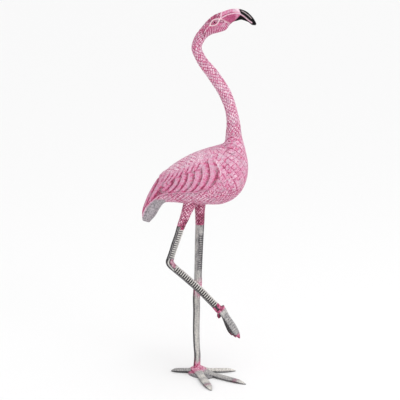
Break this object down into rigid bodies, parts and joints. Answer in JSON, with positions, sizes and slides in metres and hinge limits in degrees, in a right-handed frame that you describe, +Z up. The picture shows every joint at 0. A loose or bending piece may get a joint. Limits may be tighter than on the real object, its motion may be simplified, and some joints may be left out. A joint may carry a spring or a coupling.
{
  "type": "flamingo garden statue",
  "caption": "Painted cast-metal flamingo standing on one leg, the other leg drawn up, with a raised head on a long curved neck and a flat spread foot.",
  "frame": {"origin": "on the ground under the standing leg, inside the flat sole, in the body's middle plane", "axes": "+Z up, +X the way the bird's beak points, +Y to the bird's left"},
  "size_m": [0.3009, 0.1898, 0.9999],
  "materials": {
    "painted_metal": "hand-painted pink over cast metal, darker in the grooves; legs and foot dry-brushed grey, beak black"
  },
  "bodies": {
    "root": {"flamingo": "painted_metal"}
  },
  "joints": []
}
